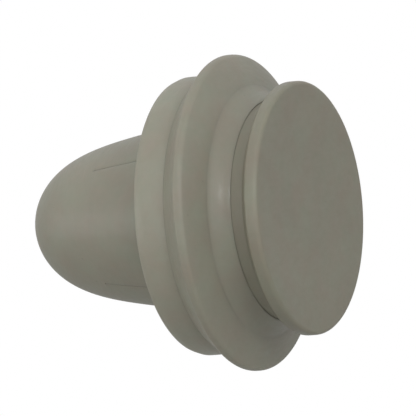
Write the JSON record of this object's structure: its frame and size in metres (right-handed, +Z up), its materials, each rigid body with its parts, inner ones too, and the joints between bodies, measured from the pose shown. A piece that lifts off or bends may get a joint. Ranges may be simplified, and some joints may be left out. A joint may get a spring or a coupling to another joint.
{
  "type": "wall anchor",
  "caption": "Push-in nylon wall anchor: a round-headed drive pin in a flanged body with a sealing skirt and a bullet-shaped sleeve whose legs spread behind the wall.",
  "frame": {"origin": "on the anchor's axis in the plane of the sealing skirt's lip, which is the wall's surface", "axes": "+Y along the axis into the wall, towards the nose; the head is at -Y; +Z up, through the middle of leg 1"},
  "size_m": [0.02, 0.019, 0.02],
  "materials": {
    "pin_nylon": "natural unfilled nylon, satin moulded face",
    "body_nylon": "natural unfilled nylon, slightly milky, satin",
    "seal_nylon": "thin natural nylon lip, slightly milky, satin"
  },
  "bodies": {
    "anchor_body": {"flange_hub": "body_nylon", "load_flange": "body_nylon", "guide_collar": "body_nylon", "sealing_skirt": "seal_nylon", "nose_cap": "body_nylon", "core_rib_1": "body_nylon", "core_rib_2": "body_nylon", "core_rib_3": "body_nylon", "core_rib_4": "body_nylon"},
    "drive_pin": {"pin_head": "pin_nylon", "pin_neck": "pin_nylon", "pin_journal": "pin_nylon", "pin_stop_ring": "pin_nylon", "pin_shaft": "pin_nylon", "pin_tip": "pin_nylon", "wedge_ramp_1": "pin_nylon", "wedge_ramp_2": "pin_nylon", "wedge_ramp_3": "pin_nylon", "wedge_ramp_4": "pin_nylon"},
    "leg_1": {"expansion_leg_1": "body_nylon"},
    "leg_2": {"expansion_leg_2": "body_nylon"},
    "leg_3": {"expansion_leg_3": "body_nylon"},
    "leg_4": {"expansion_leg_4": "body_nylon"}
  },
  "joints": [
    {"name": "pin_drive", "type": "slide", "parent": "anchor_body", "child": "drive_pin", "axis": [0, 1, 0], "range_m": [0, 0.0007]},
    {"name": "leg_1_spread", "type": "hinge", "parent": "anchor_body", "child": "leg_1", "pos_m": [0, 0.00492, 0.00508], "axis": [-1, 0, 0], "range_deg": [0, 5]},
    {"name": "leg_2_spread", "type": "hinge", "parent": "anchor_body", "child": "leg_2", "pos_m": [0.00508, 0.00492, 0], "axis": [0, 0, 1], "range_deg": [0, 5]},
    {"name": "leg_3_spread", "type": "hinge", "parent": "anchor_body", "child": "leg_3", "pos_m": [0, 0.00492, -0.00508], "axis": [1, 0, 0], "range_deg": [0, 5]},
    {"name": "leg_4_spread", "type": "hinge", "parent": "anchor_body", "child": "leg_4", "pos_m": [-0.00508, 0.00492, 0], "axis": [0, 0, -1], "range_deg": [0, 5]}
  ],
  "couplings": [
    {"joint": "leg_1_spread", "follows": "pin_drive", "rad_per_m": 124.6},
    {"joint": "leg_2_spread", "follows": "pin_drive", "rad_per_m": 124.6},
    {"joint": "leg_3_spread", "follows": "pin_drive", "rad_per_m": 124.6},
    {"joint": "leg_4_spread", "follows": "pin_drive", "rad_per_m": 124.6}
  ]
}
